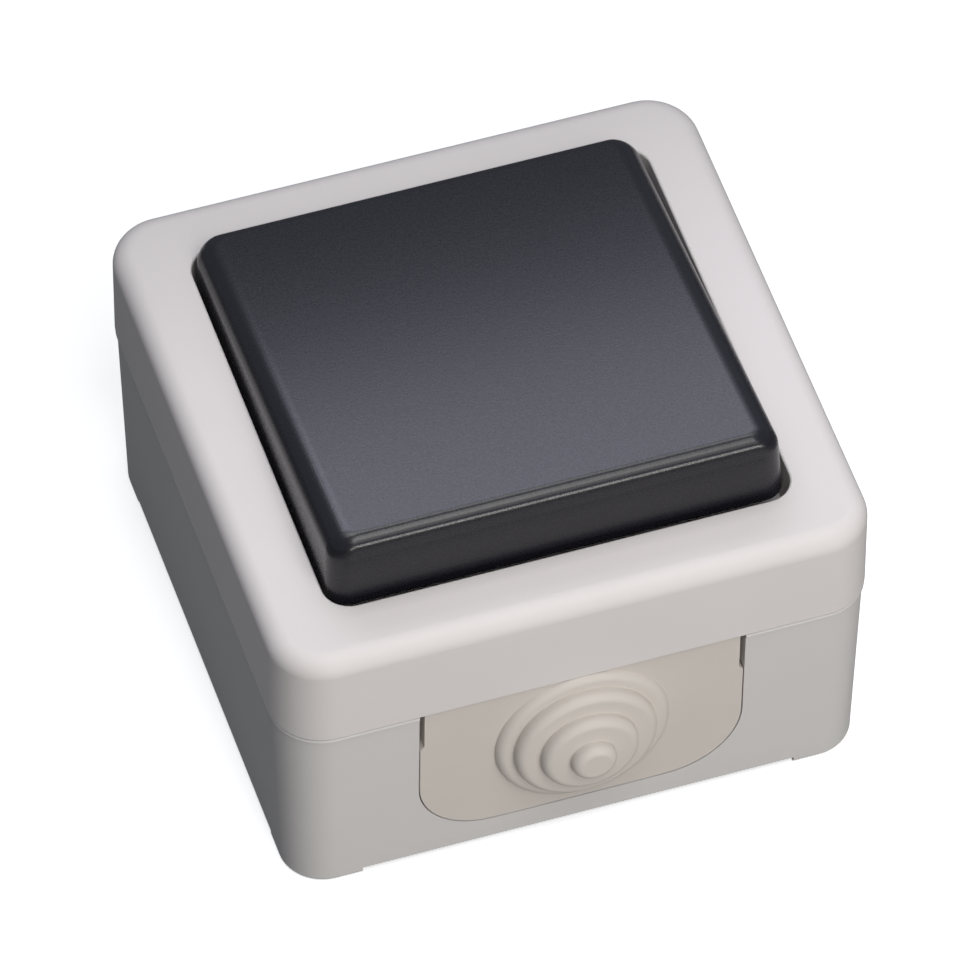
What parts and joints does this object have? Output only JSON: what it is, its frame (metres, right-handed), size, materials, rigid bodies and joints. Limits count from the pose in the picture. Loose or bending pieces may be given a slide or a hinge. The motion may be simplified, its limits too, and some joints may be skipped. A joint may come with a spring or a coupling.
{
  "type": "surface mounted light switch",
  "caption": "Square surface-mounted light switch: a drafted box, a rounded cover frame, a wide tilting rocker and stepped rubber cable grommets.",
  "frame": {"origin": "middle of the back, on the plane of the wall", "axes": "+Z out of the wall towards the rocker, +Y up the wall, -Y towards the lower cable entry that the picture shows"},
  "size_m": [0.066, 0.0754, 0.0451],
  "materials": {
    "base_plastic": "moulded, fine satin, warm light grey-white",
    "cover_plastic": "moulded, satin, warm white",
    "rocker_plastic": "moulded, fine texture, satin anthracite",
    "grommet_rubber": "matt warm grey elastomer",
    "gasket_rubber": "matt black",
    "insert_plastic": "moulded, light grey",
    "bearing_plastic": "moulded, natural white",
    "plunger_plastic": "moulded, brick red",
    "brass_strip": "stamped sheet",
    "copper_strip": "stamped copper sheet",
    "contact_silver": "silver contact face",
    "zinc_steel": "zinc plated",
    "spring_steel": "drawn wire"
  },
  "bodies": {
    "box": {"base_box": "base_plastic", "cover_frame": "cover_plastic", "cover_gasket": "gasket_rubber", "cable_grommet_bottom": "grommet_rubber", "cable_grommet_top": "grommet_rubber", "insert_body": "insert_plastic", "bearing_frame": "bearing_plastic", "common_terminal": "brass_strip", "switched_terminal": "brass_strip", "fixed_rivet": "contact_silver", "wire_clamp_bottom": "zinc_steel", "wire_clamp_top": "zinc_steel", "terminal_screw_bottom": "zinc_steel", "terminal_screw_top": "zinc_steel", "cover_screw_1": "zinc_steel", "cover_screw_2": "zinc_steel", "insert_screw_1": "zinc_steel", "insert_screw_2": "zinc_steel"},
    "rocker": {"rocker_cap": "rocker_plastic", "rocker_cradle": "bearing_plastic", "plunger_spring": "spring_steel"},
    "plunger": {"plunger": "plunger_plastic"},
    "lever": {"contact_lever": "copper_strip", "lever_rivet": "contact_silver"}
  },
  "joints": [
    {"name": "rocker_tilt", "type": "hinge", "parent": "box", "child": "rocker", "pos_m": [0, 0, 0.0335], "axis": [1, 0, 0], "range_deg": [0, 10.8]},
    {"name": "plunger_slide", "type": "slide", "parent": "rocker", "child": "plunger", "axis": [0, 0.0941, 0.9956], "range_m": [0, 0.0006], "stiffness_N_per_m": 300, "springref_m": -0.0015, "deforming": ["plunger_spring"]},
    {"name": "lever_tilt", "type": "hinge", "parent": "box", "child": "lever", "pos_m": [0, 0, 0.01932], "axis": [1, 0, 0], "range_deg": [-18, 0]}
  ],
  "couplings": [
    {"joint": "lever_tilt", "follows": "rocker_tilt", "ratio": -1.6667}
  ]
}
